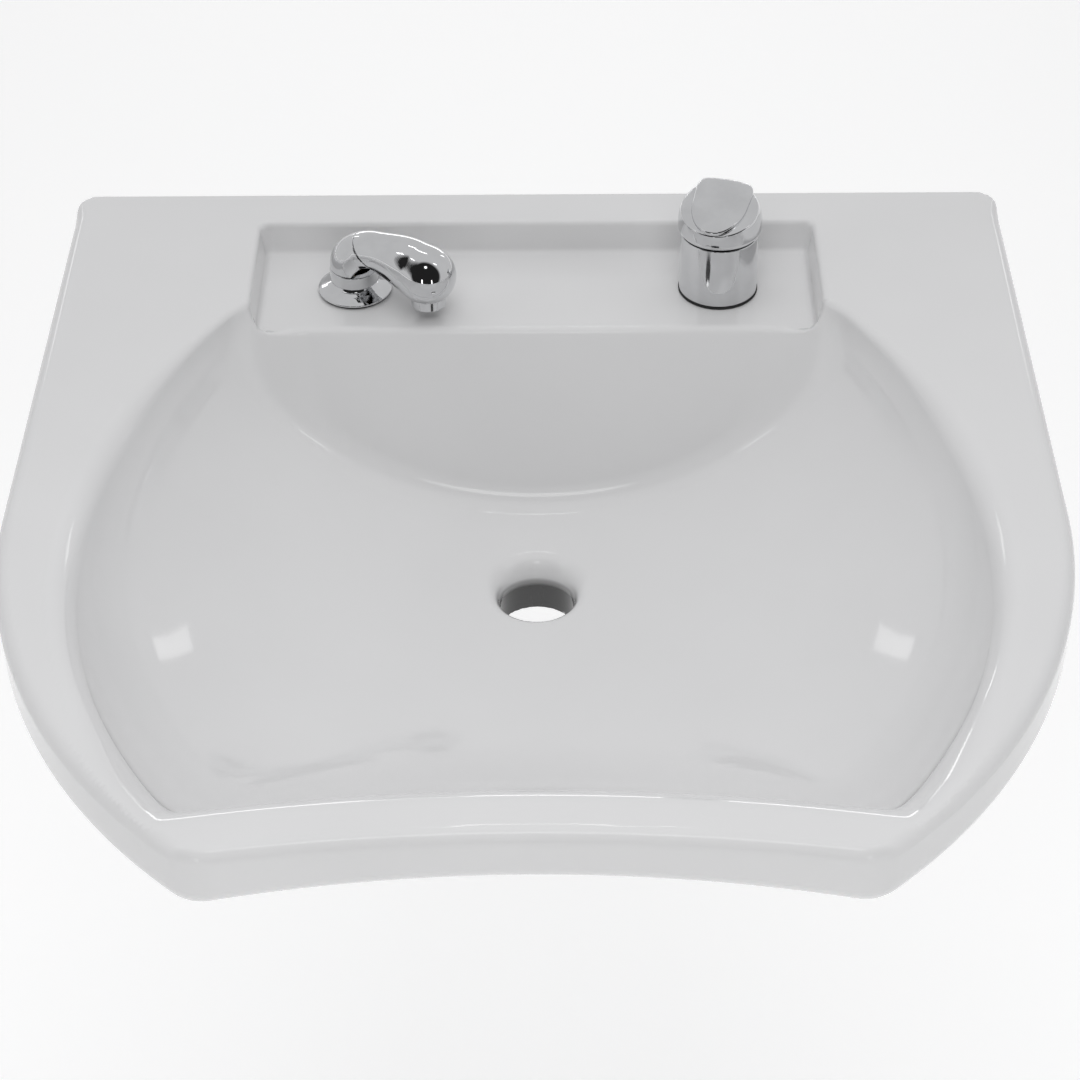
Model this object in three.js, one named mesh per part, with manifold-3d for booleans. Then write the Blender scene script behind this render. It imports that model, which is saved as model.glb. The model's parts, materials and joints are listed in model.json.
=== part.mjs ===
// Salon wash basin in glazed china, hung on a wall, with a pull-out hand spray and a lever mixer.
// Millimetres, +Z up. The wall is the plane y = 0 and the front of the basin points to -Y.
// The origin lies on the wall face, midway between the two hanger holes.
import * as THREE from "three";
import { mergeVertices } from "three/addons/utils/BufferGeometryUtils.js";
import Module from "manifold-3d";

const wasm = await Module();
wasm.setup();

// ---------------------------------------------------------------- driving dimensions
const RIM_Z = 62;               // top of the rim above the hanger holes
const HALF_WIDTH = 293;         // half of the overall width
const FRONT_DEPTH = 571;        // wall to the middle of the hollow front edge
const FRONT_RADIUS = 1000;      // plan radius of the hollow front edge
const SIDE_RADIUS = 338;        // plan radius of the curved front half of each side
const SIDE_START = 322;         // depth where the straight sides begin to curve in
const REAR_TAPER = 2.5;         // each side is this much nearer the middle at the wall
const REAR_CORNER = 14;         // plan radius of the rear corners
const FRONT_CORNER = 30;        // plan radius of the front corners
const LIP_HEIGHT = 37;          // height of the outer lip at the sides
const LIP_RISE = 5;             // the lip is this much lower in height at the front middle
const SHELL = 12;               // thickness of the china

const BOWL_DEPTH = 110;         // rim to the bowl floor
const BOWL_HALF_WIDTH = 249;    // half width of the bowl mouth at its widest
const BOWL_WIDEST = 350;        // depth of that widest place
const BOWL_REAR_RADIUS = 395;   // plan radius of the mouth behind the widest place
const BOWL_FRONT_RADIUS = 310;  // plan radius of the mouth before the widest place
const BOWL_FRONT = 527;         // depth of the front of the bowl mouth, at the middle
const DRAIN_DEPTH = 258;        // depth of the drain axis
const DRAIN_RADIUS = 23;

const SHELF_DROP = 21;          // tap shelf below the rim
const SHELF_BACK = 34;          // depth of the rear wall of the tap recess
const SHELF_FRONT = 120;        // depth where the shelf drops into the bowl
const SHELF_HALF = 173;         // half width of the tap recess at the rim
const SHELF_PLATE = 13;         // thickness of the shelf
const SPLASH_SLOPE = 0.702;     // the bowl's rear wall comes forward this much per mm of drop
const TAP_DEPTH = 77;           // depth of both tap holes
const TAP_SPACING = 112;        // each tap hole from the middle
const TAP_HOLE = 17.5;          // tap hole radius

const HANGER_SPACING = 140;     // each hanger hole from the middle
const HANGER_RADIUS = 7;
const REAR_WALL = 22;           // thickness of the wall that hangs on the bolts
const HOUSING_HALF = 182;       // half width of the box under the tap shelf
const HOUSING_DROP = 150;       // rim to the lower edge of that box

const CLEARANCE = 0.3;          // gap kept between neighbouring pieces
const MIXER_RADIUS = 24;        // mixer body
const MIXER_TOP = 42;           // mixer body above the shelf
const PIVOT = 30;               // lever pivot above the shelf
const HANDLE_TURN = -17;        // degrees the lever is turned from straight ahead
const SPRAY_TURN = -29;         // degrees the spray is turned forwards from the +X direction

const SHELF_Z = RIM_Z - SHELF_DROP;
const radians = THREE.MathUtils.degToRad;

// ---------------------------------------------------------------- solids
function solidOf(geometry) {
  const bare = geometry.clone();
  bare.deleteAttribute("normal");
  bare.deleteAttribute("uv");
  const merged = mergeVertices(bare, 1e-4);
  const mesh = new wasm.Mesh({
    numProp: 3,
    vertProperties: Float32Array.from(merged.attributes.position.array),
    triVerts: Uint32Array.from(merged.index.array),
  });
  return new wasm.Manifold(mesh);
}

function geometryOf(solid) {
  const mesh = solid.getMesh();
  const geometry = new THREE.BufferGeometry();
  geometry.setAttribute("position", new THREE.BufferAttribute(Float32Array.from(mesh.vertProperties), 3));
  geometry.setIndex(new THREE.BufferAttribute(Uint32Array.from(mesh.triVerts), 1));
  return geometry;
}

// Closed solid through rings of points; every ring has the same number of points.
function loft(rings) {
  const count = rings[0].length;
  const points = rings.flat();
  const faces = [];
  for (let level = 0; level + 1 < rings.length; level += 1) {
    for (let i = 0; i < count; i += 1) {
      const a = level * count + i;
      const b = level * count + (i + 1) % count;
      faces.push(a, b, b + count, a, b + count, a + count);
    }
  }
  const capEnd = (ring, first, flip) => {
    const middle = points.length;
    points.push(ring.reduce((sum, p) => sum.add(p), new THREE.Vector3()).divideScalar(count));
    for (let i = 0; i < count; i += 1) {
      const a = first + i;
      const b = first + (i + 1) % count;
      faces.push(...(flip ? [middle, b, a] : [middle, a, b]));
    }
  };
  capEnd(rings[0], 0, true);
  capEnd(rings[rings.length - 1], (rings.length - 1) * count, false);
  const volume = signedVolume(points, faces);
  if (volume < 0) faces.reverse();
  const geometry = new THREE.BufferGeometry().setFromPoints(points);
  geometry.setIndex(faces);
  return solidOf(geometry);
}

function signedVolume(points, faces) {
  let volume = 0;
  for (let i = 0; i < faces.length; i += 3) {
    const [a, b, c] = [points[faces[i]], points[faces[i + 1]], points[faces[i + 2]]];
    volume += a.dot(new THREE.Vector3().crossVectors(b, c)) / 6;
  }
  return volume;
}

// Turned solid about the Z axis from [radius, height] points.
function turned(profile, segments = 24) {
  const closed = profile[0][0] > 0 ? [...profile, profile[0]] : profile;
  const geometry = new THREE.LatheGeometry(closed.map(([r, z]) => new THREE.Vector2(r, z)), segments);
  geometry.rotateX(Math.PI / 2);
  const position = geometry.attributes.position;
  const index = geometry.index.array;
  const corners = Array.from({ length: position.count }, (_, i) => new THREE.Vector3().fromBufferAttribute(position, i));
  if (signedVolume(corners, index) < 0) geometry.setIndex(Array.from(index).reverse());
  return solidOf(geometry);
}

function ballAt(radius, middle, segments) {
  const arc = [-70, -50, -30, -10, 10, 30, 50, 70].map((degrees) => [
    radius * Math.cos(radians(degrees)), middle + radius * Math.sin(radians(degrees)),
  ]);
  return turned([[0, middle - radius], ...arc, [0, middle + radius]], segments);
}

function rod(radius, low, high, segments = 24) {
  return turned([[0, low], [radius, low], [radius, high], [0, high]], segments);
}

function tube(outer, inner, low, high, segments = 24) {
  return turned([[inner, low], [outer, low], [outer, high], [inner, high]], segments);
}

// Ring seal with a five-sided section, lying flat at the given height.
function ringSeal(radius, thickness, middle, segments = 12) {
  const section = [];
  for (let i = 0; i < 5; i += 1) {
    const angle = 2 * Math.PI * i / 5;
    section.push([radius + thickness / 2 * Math.cos(angle), middle + thickness / 2 * Math.sin(angle)]);
  }
  return turned(section, segments);
}

function block(x0, x1, y0, y1, z0, z1) {
  const geometry = new THREE.BoxGeometry(x1 - x0, y1 - y0, z1 - z0);
  geometry.translate((x0 + x1) / 2, (y0 + y1) / 2, (z0 + z1) / 2);
  return solidOf(geometry);
}

function prism(points, low, high) {
  const shape = new THREE.Shape(points.map(([x, y]) => new THREE.Vector2(x, y)));
  const geometry = new THREE.ExtrudeGeometry(shape, { depth: high - low, bevelEnabled: false });
  geometry.translate(0, 0, low);
  return solidOf(geometry);
}

function hexagon(acrossFlats, low, high) {
  return rod(acrossFlats / Math.sqrt(3), low, high, 6);
}

// Slice that runs from wall to front: [depth, z] points swept over the width.
function sideSlab(points, halfWidth) {
  const shape = new THREE.Shape(points.map(([depth, z]) => new THREE.Vector2(-depth, z)));
  const geometry = new THREE.ExtrudeGeometry(shape, { depth: 2 * halfWidth, bevelEnabled: false });
  geometry.translate(0, 0, -halfWidth);
  geometry.rotateY(Math.PI / 2);
  geometry.rotateX(Math.PI / 2);
  return solidOf(geometry);
}

function joined(solids) {
  return solids.reduce((sum, solid) => sum.add(solid));
}

// ---------------------------------------------------------------- basin outline
const sample = (from, to, steps) => Array.from({ length: steps }, (_, i) => from + (to - from) * i / steps);

// Where two circles meet, on the +X side.
function circlesMeet([x1, y1], r1, [x2, y2], r2) {
  const [dx, dy] = [x2 - x1, y2 - y1];
  const gap = Math.hypot(dx, dy);
  const along = (gap * gap + r1 * r1 - r2 * r2) / (2 * gap);
  const across = Math.sqrt(r1 * r1 - along * along);
  const [mx, my] = [x1 + dx * along / gap, y1 + dy * along / gap];
  const both = [[mx + across * dy / gap, my - across * dx / gap], [mx - across * dy / gap, my + across * dx / gap]];
  return both[0][0] > both[1][0] ? both[0] : both[1];
}

// Plan outline of the deck as [x, depth], `inset` inside the true edge, right half then left half.
function deckOutline(inset) {
  const half = HALF_WIDTH - inset;
  const rearHalf = half - REAR_TAPER;
  const rear = REAR_CORNER - inset;
  const corner = FRONT_CORNER - inset;
  const side = SIDE_RADIUS - inset;
  const front = FRONT_RADIUS + inset;
  const sideCentre = [HALF_WIDTH - SIDE_RADIUS, SIDE_START];
  const frontCentre = [0, FRONT_DEPTH + FRONT_RADIUS];
  const cornerCentre = circlesMeet(sideCentre, side - corner, frontCentre, front + corner);
  const sideEnd = Math.atan2(cornerCentre[1] - sideCentre[1], cornerCentre[0] - sideCentre[0]);
  const frontEnd = Math.atan2(cornerCentre[1] - frontCentre[1], cornerCentre[0] - frontCentre[0]);
  const arc = (centre, radius, from, to, steps) => sample(from, to, steps)
    .map((angle) => [centre[0] + radius * Math.cos(angle), centre[1] + radius * Math.sin(angle)]);
  const right = [
    ...sample(0, rearHalf - rear, 4).map((x) => [x, inset]),
    ...arc([rearHalf - rear, inset + rear], rear, -Math.PI / 2, 0, 3),
    ...sample(0, 1, 5).map((t) => [rearHalf + REAR_TAPER * t, inset + rear + (SIDE_START - inset - rear) * t]),
    ...arc(sideCentre, side, 0, sideEnd, 11),
    ...arc(cornerCentre, corner, sideEnd, frontEnd + Math.PI, 4),
    ...arc(frontCentre, front, frontEnd, -Math.PI / 2, 6),
    [0, FRONT_DEPTH - inset],
  ];
  const left = right.slice(1, -1).reverse().map(([x, depth]) => [-x, depth]);
  return [...right, ...left];
}

const smooth = (from, to, value) => THREE.MathUtils.smoothstep(value, from, to);

// The lip edge is crisp at the wall, and its lower edge arches up at the front middle.
function edgeRadius(depth) {
  return 2 + 6 * smooth(0, 30, depth);
}

function lowerRadius(depth) {
  return 3 + 7 * smooth(0, 30, depth);
}

function lipHeight(x, depth) {
  const middle = Math.max(0, 1 - (x / 165) ** 2);
  return LIP_HEIGHT - LIP_RISE * middle * smooth(420, 540, depth);
}

function lip() {
  const outline = deckOutline(0);
  const inner = deckOutline(1);
  const ring = (place) => outline.map(([x, depth], i) => {
    const [inset, drop] = place(x, depth);
    const [nx, nd] = [inner[i][0] - x, inner[i][1] - depth];
    return new THREE.Vector3(x + nx * inset, -(depth + nd * inset), RIM_Z - drop);
  });
  const upper = [0, 30, 60, 90].map((degrees) => ring((x, depth) => {
    const r = edgeRadius(depth);
    return [r * (1 - Math.sin(radians(degrees))), r * (1 - Math.cos(radians(degrees)))];
  }));
  const lower = [0, 35, 65, 90].map((degrees) => ring((x, depth) => {
    const r = lowerRadius(depth);
    return [r * (1 - Math.cos(radians(degrees))), lipHeight(x, depth) - r * (1 - Math.sin(radians(degrees)))];
  }));
  return loft([...upper, ...lower]);
}

// ---------------------------------------------------------------- bowl
// How far a plan point lies inside the bowl mouth; the three walls blend into each other.
function bowlInset(x, depth) {
  const ahead = depth > BOWL_WIDEST;
  const radius = ahead ? BOWL_FRONT_RADIUS : BOWL_REAR_RADIUS;
  const reach = (side) => radius - Math.hypot(side * x + radius - BOWL_HALF_WIDTH, depth - BOWL_WIDEST);
  const front = Math.hypot(x, BOWL_FRONT + FRONT_RADIUS - depth) - FRONT_RADIUS;
  const walls = [reach(1), reach(-1), front].map((distance) => Math.max(distance + BLEND, 0.1) ** -SHARPNESS);
  return walls.reduce((a, b) => a + b) ** (-1 / SHARPNESS) - BLEND;
}
const BLEND = 25;               // sets the corner radius of the mouth
const SHARPNESS = 6;            // sets how tight the walls turn into each other
const BOWL_REACH = bowlInset(0, DRAIN_DEPTH + 30);

// Depth below the rim at a given distance inside the mouth: steep walls, nearly level floor.
function bowlDrop(inset) {
  const rest = 1 - Math.min(Math.max(inset / BOWL_REACH, 0), 1);
  return BOWL_DEPTH * (1 - rest ** 2) ** 0.588;
}

function bowlFloor(x, depth) {
  const fromDrain = Math.hypot(x, depth - DRAIN_DEPTH);
  return bowlDrop(bowlInset(x, depth)) + 3 * Math.exp(-((fromDrain / 70) ** 2));
}

const RAYS = 60;
const BOWL_CENTRE = 292;        // the rings of the bowl are drawn about this depth

// Ring of [x, depth] points that all lie `inset` inside the bowl mouth.
function bowlRing(inset) {
  return Array.from({ length: RAYS }, (_, i) => {
    const angle = 2 * Math.PI * i / RAYS;
    let [near, far] = [0, 420];
    for (let step = 0; step < 40; step += 1) {
      const middle = (near + far) / 2;
      const inside = bowlInset(middle * Math.cos(angle), BOWL_CENTRE + middle * Math.sin(angle)) > inset;
      [near, far] = inside ? [middle, far] : [near, middle];
    }
    return [near * Math.cos(angle), BOWL_CENTRE + near * Math.sin(angle)];
  });
}

function drainRing(radius) {
  return Array.from({ length: RAYS }, (_, i) => {
    const angle = 2 * Math.PI * i / RAYS;
    return [radius * Math.cos(angle), DRAIN_DEPTH + radius * Math.sin(angle)];
  });
}

const mixRings = (a, b, t) => a.map(([x, y], i) => [x + (b[i][0] - x) * t, y + (b[i][1] - y) * t]);
const lift = (ring, dropAt) => ring.map(([x, depth]) => new THREE.Vector3(x, -depth, RIM_Z - dropAt(x, depth)));

const WALL_INSETS = [5, 12, 23, 38, 58, 84, 115];

// Everything in front of the sloping rear wall of the bowl, moved back by `shift`.
function aheadOfSplashWall(shift) {
  const depthAt = (drop) => SHELF_FRONT + SPLASH_SLOPE * (drop - SHELF_DROP) - shift;
  return sideSlab([
    [depthAt(-40), RIM_Z + 40], [depthAt(260), RIM_Z - 260], [800, RIM_Z - 260], [800, RIM_Z + 40],
  ], 400);
}

function bowlHollow() {
  const mouth = [90, 60, 30].map((degrees) => {
    const ring = bowlRing(0);
    return ring.map(([x, depth]) => {
      const radius = 13 + 9 * smooth(460, 530, depth);
      const back = radius * (1 - Math.cos(radians(degrees)));
      const grow = 1 + back / Math.hypot(x, depth - BOWL_CENTRE);
      const place = [x * grow, BOWL_CENTRE + (depth - BOWL_CENTRE) * grow];
      return new THREE.Vector3(place[0], -place[1], RIM_Z - radius * (1 - Math.sin(radians(degrees))));
    });
  });
  const above = mouth[0].map((p) => new THREE.Vector3(p.x, p.y, RIM_Z + 10));
  const walls = WALL_INSETS.map((inset) => lift(bowlRing(inset), bowlFloor));
  const wide = bowlRing(WALL_INSETS[WALL_INSETS.length - 1]);
  const near = drainRing(DRAIN_RADIUS + 8);
  const floor = [0.45, 1].map((t) => lift(mixRings(wide, near, t), bowlFloor));
  const throat = lift(drainRing(DRAIN_RADIUS + 2.5), () => BOWL_DEPTH + 5);
  const hole = [BOWL_DEPTH + 11, BOWL_DEPTH + 60].map((drop) => lift(drainRing(DRAIN_RADIUS), () => drop));
  const whole = loft([above, ...mouth, ...walls, ...floor, throat, ...hole]);
  return whole.intersect(aheadOfSplashWall(0));
}

function bowlShell() {
  const top = lift(bowlRing(-SHELL), () => 20);
  const walls = WALL_INSETS.map((inset) => {
    const slope = Math.atan(bowlDrop(inset + 1) - bowlDrop(inset));
    return lift(bowlRing(inset - SHELL * Math.sin(slope)), () => bowlDrop(inset) + SHELL * Math.cos(slope));
  });
  const wide = bowlRing(WALL_INSETS[WALL_INSETS.length - 1]);
  const boss = drainRing(DRAIN_RADIUS + 11);
  const floor = lift(mixRings(wide, boss, 0.5), (x, depth) => bowlFloor(x, depth) + SHELL);
  const spigot = [BOWL_DEPTH + 18, BOWL_DEPTH + 36].map((drop) => lift(boss, () => drop));
  return loft([top, ...walls, floor, ...spigot]).intersect(aheadOfSplashWall(SHELL * Math.hypot(1, SPLASH_SLOPE)));
}

// ---------------------------------------------------------------- tap recess and box below it
function roundedRect(half, back, front, radius) {
  const corners = [[half, front, 0], [-half, front, 90], [-half, back, 180], [half, back, 270]];
  return corners.flatMap(([x, depth, start]) => [0, 30, 60, 90].map((degrees) => {
    const angle = radians(start + degrees);
    const centre = [x - Math.sign(x) * radius, depth + (depth === front ? -radius : radius)];
    return [centre[0] + radius * Math.cos(angle), centre[1] + radius * Math.sin(angle)];
  }));
}

function tapRecess() {
  const level = (narrow, drop) => roundedRect(SHELF_HALF - narrow, SHELF_BACK + narrow / 2, SHELF_FRONT + 3, 5)
    .map(([x, depth]) => new THREE.Vector3(x, -depth, RIM_Z - drop));
  return loft([level(-3, -10), level(-3, 0), level(0, 3), level(3, SHELF_DROP - 5), level(8, SHELF_DROP)]);
}

function housing() {
  return sideSlab([
    [0, RIM_Z - 20], [0, RIM_Z - HOUSING_DROP], [34, RIM_Z - HOUSING_DROP], [205, RIM_Z - 118], [205, RIM_Z - 20],
  ], HOUSING_HALF);
}

function housingHollow() {
  const top = SHELF_DROP + SHELF_PLATE;
  const back = SHELL * Math.hypot(1, SPLASH_SLOPE);
  const frontAt = (drop) => SHELF_FRONT + SPLASH_SLOPE * (drop - SHELF_DROP) - back;
  return sideSlab([
    [REAR_WALL, RIM_Z - top], [REAR_WALL, RIM_Z - 200], [frontAt(200), RIM_Z - 200], [frontAt(top), RIM_Z - top],
  ], HOUSING_HALF - SHELL - 2);
}

function basin() {
  const tapHole = rod(TAP_HOLE, SHELF_Z - 40, SHELF_Z + 10, 32);
  const hangerHole = rod(HANGER_RADIUS, -5, REAR_WALL + 5, 20).rotate([90, 0, 0]);
  const body = joined([lip(), bowlShell(), housing()]);
  const cuts = joined([
    bowlHollow(),
    tapRecess(),
    housingHollow(),
    tapHole.translate([-TAP_SPACING, -TAP_DEPTH, 0]),
    tapHole.translate([TAP_SPACING, -TAP_DEPTH, 0]),
    hangerHole.translate([-HANGER_SPACING, 0, 0]),
    hangerHole.translate([HANGER_SPACING, 0, 0]),
  ]);
  return body.subtract(cuts);
}

// ---------------------------------------------------------------- mixer (z = 0 is the tap shelf)
const TAIL_SPOTS = { hot: [-10, -2], cold: [10, -2], outlet: [0, -10] };
const STUD_SPOT = [0, 11.5];
const TAIL_RADIUS = 4.5;
const PORT_RADIUS = 2.6;
const FLOOR = 12;               // thickness of the solid foot of the mixer body
const BODY_BORE = 18.3;

const placed = (solid, [x, y]) => solid.translate([x, y, 0]);
const atTails = (solid) => joined(Object.values(TAIL_SPOTS).map((spot) => placed(solid, spot)));

function mixerGasket() {
  return tube(MIXER_RADIUS + 0.4, 17, CLEARANCE, 1.8, 40);
}

function mixerBody() {
  const shell = turned([
    [0, 2.1], [MIXER_RADIUS, 2.1], [MIXER_RADIUS, MIXER_TOP], [BODY_BORE, MIXER_TOP], [BODY_BORE, FLOOR], [0, FLOOR],
  ], 40);
  const sockets = atTails(rod(TAIL_RADIUS + CLEARANCE, 0, 9, 16));
  const ports = atTails(rod(PORT_RADIUS, 5, FLOOR + 5, 12));
  const studHole = placed(rod(4 + CLEARANCE, 0, 9.5, 16), STUD_SPOT);
  return shell.subtract(joined([sockets, ports, studHole]));
}

// Union tail that takes a supply hose: collar, nut face and hose nipple.
function hoseTail() {
  return turned([
    [2.6, -42], [3.8, -42], [3.8, -30], [5.6, -30], [5.6, -24], [TAIL_RADIUS, -24], [TAIL_RADIUS, 8.7], [2.6, 8.7],
  ], 16);
}

function mixerStud() {
  return rod(4, -42, 9.2, 16);
}

// Clamp plate with one clear opening for the three tails and a hole for the stud.
function clampPlate(low, high) {
  const opening = prism([[-17, -17], [17, -17], [17, 5], [-17, 5]], low - 1, high + 1);
  const studHole = placed(rod(4 + CLEARANCE, low - 1, high + 1, 16), STUD_SPOT);
  return rod(25, low, high, 32).subtract(opening).subtract(studHole);
}

function mixerNut() {
  const low = -SHELF_PLATE - 13.4;
  return placed(hexagon(13, low, low + 6.5).subtract(rod(4 + CLEARANCE, low - 1, low + 8, 16)), STUD_SPOT);
}

// ---------------------------------------------------------------- cartridge
const CUP_BORE = 13.6;          // inside of the cartridge housing
const CUP_BASE = 16.3;          // level the fixed disc lies on
const DISC_SPLIT = 19.6;        // underside of the moving disc
const DRIVER_BASE = 25.3;       // underside of the lever carrier, above the moving disc
const STEM_HALF = 4;
const STEM_TOP = 59;

function cartridgeHousing() {
  const base = 14.2;
  const cup = turned([
    [0, base], [17.9, base], [17.9, 34], [CUP_BORE + CLEARANCE, 34], [CUP_BORE + CLEARANCE, CUP_BASE - CLEARANCE],
    [0, CUP_BASE - CLEARANCE],
  ], 32);
  return cup.subtract(atTails(rod(PORT_RADIUS, base - 1, CUP_BASE + 1, 12)));
}

function portSeal(name) {
  return placed(ringSeal(3.8, 1.6, (FLOOR + 14.2) / 2), TAIL_SPOTS[name]);
}

function fixedDisc() {
  const disc = rod(CUP_BORE, CUP_BASE, DISC_SPLIT - CLEARANCE, 28);
  return disc.subtract(atTails(rod(PORT_RADIUS, CUP_BASE - 1, DISC_SPLIT + 1, 12)));
}

// Sliding disc: mixing chamber below, square pocket for the lever tip above.
function movingDisc() {
  const top = DRIVER_BASE - CLEARANCE;
  const chamber = rod(7.5, DISC_SPLIT - 1, DISC_SPLIT + 2.2, 20);
  const pocket = block(-3.4, 3.4, -3.4, 3.4, top - 2.2, top + 1);
  const disc = rod(10.8, DISC_SPLIT, top, 28).intersect(block(-9, 9, -20, 20, 0, 60));
  return disc.subtract(chamber).subtract(pocket);
}

// Turning carrier: holds the lever pin and guides the sliding disc between two legs.
function leverCarrier() {
  const drum = rod(CUP_BORE, DRIVER_BASE, 33.4, 28);
  const legs = rod(CUP_BORE, DISC_SPLIT + CLEARANCE, DRIVER_BASE + 1, 28).subtract(block(-9.3, 9.3, -20, 20, 0, 60));
  const slot = block(-STEM_HALF - CLEARANCE, STEM_HALF + CLEARANCE, -7, 7, 20, 60);
  const pinHole = rod(1.6 + CLEARANCE, -20, 20, 12).rotate([0, 90, 0]).translate([0, 0, PIVOT]);
  return drum.add(legs).subtract(slot).subtract(pinHole);
}

function leverPin() {
  return rod(1.6, -CUP_BORE + 0.4, CUP_BORE - 0.4, 12).rotate([0, 90, 0]).translate([0, 0, PIVOT]);
}

function leverStem() {
  const bar = block(-STEM_HALF, STEM_HALF, -STEM_HALF, STEM_HALF, DRIVER_BASE + 1.3, STEM_TOP);
  const tip = block(-2.7, 2.7, -2.7, 2.7, DRIVER_BASE - 1.8, DRIVER_BASE + 2);
  const pinHole = rod(1.6 + CLEARANCE, -20, 20, 12).rotate([0, 90, 0]).translate([0, 0, PIVOT]);
  return bar.add(tip).subtract(pinHole);
}

function cartridgeNut() {
  return hexagon(30, 34.3, 38).add(rod(18, 34.3, 36.5, 32)).subtract(rod(11.3, 30, 45, 24));
}

// Chrome cap over the nut: part of a ball about the lever pivot.
function coverRing() {
  const ball = (radius, z) => [Math.sqrt(radius ** 2 - (z - PIVOT) ** 2), z];
  return turned([
    [18, 39.2], [18, MIXER_TOP], ball(22, MIXER_TOP + 0.1), ball(22, 45), ball(22, 47), ball(20, 46.6), ball(20, 45),
    [15.6, 42], [15.6, 39.2],
  ], 32);
}

// ---------------------------------------------------------------- lever handle
const HANDLE_BASE = MIXER_TOP + 1.3;
const HANDLE_RADIUS = 25.7;
const DOME_MIDDLE = 47;           // level where the handle is widest
const DOME_HEIGHT = 24;
const FACE_TIP = [-24.1, 56.3];   // [y, z] of the sloping leaf face at its front tip
const FACE_BACK = [17, 68.3];     // [y, z] of the same face at its rear edge
const LEAF_STEP = 2;              // the leaf stands this much above the shoulders

// Everything below a plane parallel to the leaf face, `sunk` under it.
function belowFace(sunk) {
  const slope = (FACE_BACK[1] - FACE_TIP[1]) / (FACE_BACK[0] - FACE_TIP[0]);
  const height = (y) => FACE_TIP[1] + slope * (y - FACE_TIP[0]) - sunk;
  return sideSlab([[-60, 0], [60, 0], [60, height(-60)], [-60, height(60)]], 60);
}

function leafOutline() {
  const shape = new THREE.Shape();
  shape.moveTo(-17.4, 9);
  shape.lineTo(-16.8, -3);
  shape.bezierCurveTo(-16, -14, -9, -25, 0, -25);
  shape.bezierCurveTo(9, -25, 16, -14, 16.8, -3);
  shape.lineTo(17.4, 9);
  shape.quadraticCurveTo(17.4, 16.4, 10, 16.8);
  shape.quadraticCurveTo(0, 18, -10, 16.8);
  shape.quadraticCurveTo(-17.4, 16.4, -17.4, 9);
  return shape.getPoints(5).slice(0, -1).map((p) => [p.x, p.y]);
}

function leverHandle() {
  const fullness = 2.6;
  const dome = [5, 10, 14, 17.5, 20.5, 22.6].map((rise) => [
    HANDLE_RADIUS * (1 - (rise / DOME_HEIGHT) ** fullness) ** (1 / fullness), DOME_MIDDLE + rise,
  ]);
  const cap = turned([
    [0, HANDLE_BASE], [24.2, HANDLE_BASE], [25.3, HANDLE_BASE + 1.6], [HANDLE_RADIUS, DOME_MIDDLE + 1], ...dome,
    [0, DOME_MIDDLE + DOME_HEIGHT],
  ], 36);
  const leaf = prism(leafOutline(), 40, 90).intersect(belowFace(0)).subtract(belowFace(LEAF_STEP + 0.5));
  const ball = ballAt(22.7, PIVOT, 28);
  const half = STEM_HALF + CLEARANCE;
  const socket = block(-half, half, -half, half, 40, STEM_TOP + CLEARANCE);
  const relief = sideSlab([[0, 40], [0, HANDLE_BASE], [-30, HANDLE_BASE + 9.8], [-30, 40]], 40);
  const screwHole = rod(2.3, -40, -STEM_HALF, 16).rotate([90, 0, 0]).translate([0, 0, 57.5]);
  const mark = block(-2.2, 2.2, -40, -24.1, 46.2, 47.3).rotate([0, 0, 8]);
  return cap.intersect(belowFace(LEAF_STEP)).add(leaf).subtract(joined([ball, socket, relief, screwHole, mark]));
}

function handleScrew() {
  const screw = rod(2, STEM_HALF + 0.3, 16, 12).subtract(rod(1.1, 13, 20, 6));
  return screw.rotate([-90, 0, 0]).translate([0, 0, 57.5]);
}

function handleMark() {
  return block(-1.9, 1.9, -25.4, -24.4, 46.5, 47).rotate([0, 0, 8]);
}

// ---------------------------------------------------------------- spray holder (z = 0 is the tap shelf)
const SHANK_RADIUS = 16.4;
const GUIDE_BORE = 9.2;

function holderGasket() {
  return tube(21.5, 17, CLEARANCE, 1.5, 32);
}

function holderFlange() {
  return turned([
    [16.8, 1.8], [22.75, 1.8], [22.75, 2.8], [20.6, 4], [17, 5.6], [14, 7.2], [12.9, 8.8], [10.1, 8.8], [10.1, 3.6],
    [16.8, 3.6],
  ], 36);
}

function holderShank() {
  return tube(SHANK_RADIUS, 13, -45, 3.3, 28);
}

function holderGuide() {
  return turned([[GUIDE_BORE, -30], [12.6, -30], [12.6, 3], [9.8, 3], [9.8, 8.5], [GUIDE_BORE, 8.5]], 24);
}

function holderWasher() {
  return tube(24, 17, -SHELF_PLATE - 3.3, -SHELF_PLATE - CLEARANCE, 28);
}

function holderNut() {
  const low = -SHELF_PLATE - 11.6;
  return hexagon(42, low, low + 8).subtract(rod(SHANK_RADIUS + CLEARANCE, low - 1, low + 9, 28));
}

// ---------------------------------------------------------------- hand spray (arches along +X before turning)
const HEAD_REACH = 53;          // holder axis to the middle of the head
const HEAD_RADIUS = 17.5;
const HEAD_MIDDLE = 27.6;
const HEAD_HOLLOW = 11.05;

function sprayTail() {
  return turned([[5.2, -42], [6.8, -42], [6.8, -31], [8.6, -31], [8.6, 11.6], [5.2, 11.6]], 24);
}

function checkValve() {
  const plug = rod(4.9, -22, -8, 16);
  return plug.subtract(rod(2.2, -30, -12, 12)).subtract(rod(1.2, -30, 0, 12));
}

function swivelSeal() {
  return ringSeal(9.8, 1.6, 10.8, 20);
}

function sprayCollar() {
  return tube(15.1, 11, 9.3, 18, 32);
}

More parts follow.
